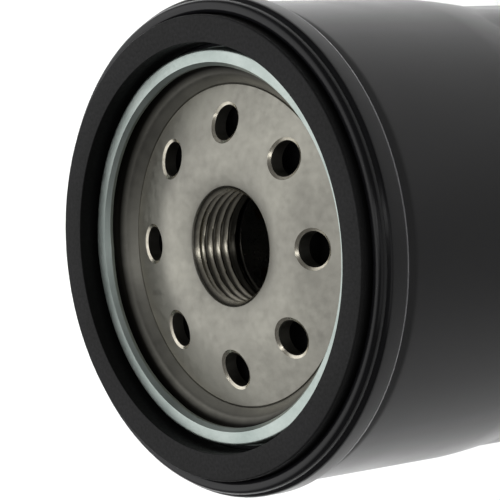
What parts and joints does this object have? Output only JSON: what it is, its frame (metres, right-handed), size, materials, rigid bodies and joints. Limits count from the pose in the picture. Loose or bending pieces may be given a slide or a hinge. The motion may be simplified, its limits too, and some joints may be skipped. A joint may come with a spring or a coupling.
{
  "type": "oil filter",
  "caption": "Spin-on engine oil filter: black steel can with wrench flats, crimped steel base plate with inlet holes and a threaded neck, square rubber gasket.",
  "frame": {"origin": "centre of the closed end's flat underside, on the thread's axis", "axes": "+Z along the thread's axis, from the closed end to the threaded end; +X lies 4.9 degrees from an inlet hole's centre"},
  "size_m": [0.0786, 0.0786, 0.086],
  "materials": {
    "black_enamel": "glossy black baked enamel on drawn steel",
    "zinc_plate": "clear-passivated zinc plate, satin",
    "bare_steel": "oiled hot-rolled steel, pressed and punched",
    "tin_plate": "bright tinplate",
    "spring_steel": "oil-tempered spring steel",
    "black_rubber": "black nitrile rubber, matte",
    "seam_compound": "cured seaming compound",
    "filter_paper": "resin-impregnated pleated paper",
    "plastisol": "cured plastisol adhesive",
    "nylon": "natural moulded nylon"
  },
  "bodies": {
    "housing": {"housing_can": "black_enamel", "seaming_lid": "zinc_plate", "seam_compound": "seam_compound", "sealing_gasket": "black_rubber", "base_plate": "bare_steel", "anti_drain_collar": "black_rubber", "support_spring": "spring_steel"},
    "anti_drain_skirt": {"anti_drain_flap": "black_rubber"},
    "cartridge": {"thread_end_cap": "tin_plate", "thread_end_adhesive": "plastisol", "pleated_media": "filter_paper", "media_seam_clip": "tin_plate", "centre_tube": "tin_plate", "dome_end_adhesive": "plastisol", "dome_end_cap": "tin_plate", "bypass_housing": "tin_plate", "bypass_spring": "spring_steel", "bypass_spring_seat": "spring_steel"},
    "bypass_disc": {"bypass_poppet": "nylon", "bypass_seal": "black_rubber"}
  },
  "joints": [
    {"name": "anti_drain_lift", "type": "slide", "parent": "housing", "child": "anti_drain_skirt", "axis": [0, 0, -1], "range_m": [0, 0.0015], "stiffness_N_per_m": 200, "springref_m": -0.002},
    {"name": "cartridge_float", "type": "slide", "parent": "housing", "child": "cartridge", "axis": [0, 0, -1], "range_m": [0, 0.001], "stiffness_N_per_m": 20000, "springref_m": -0.002, "deforming": ["support_spring"]},
    {"name": "bypass_lift", "type": "slide", "parent": "cartridge", "child": "bypass_disc", "axis": [0, 0, 1], "range_m": [0, 0.003], "stiffness_N_per_m": 1500, "springref_m": -0.008, "deforming": ["bypass_spring"]}
  ]
}
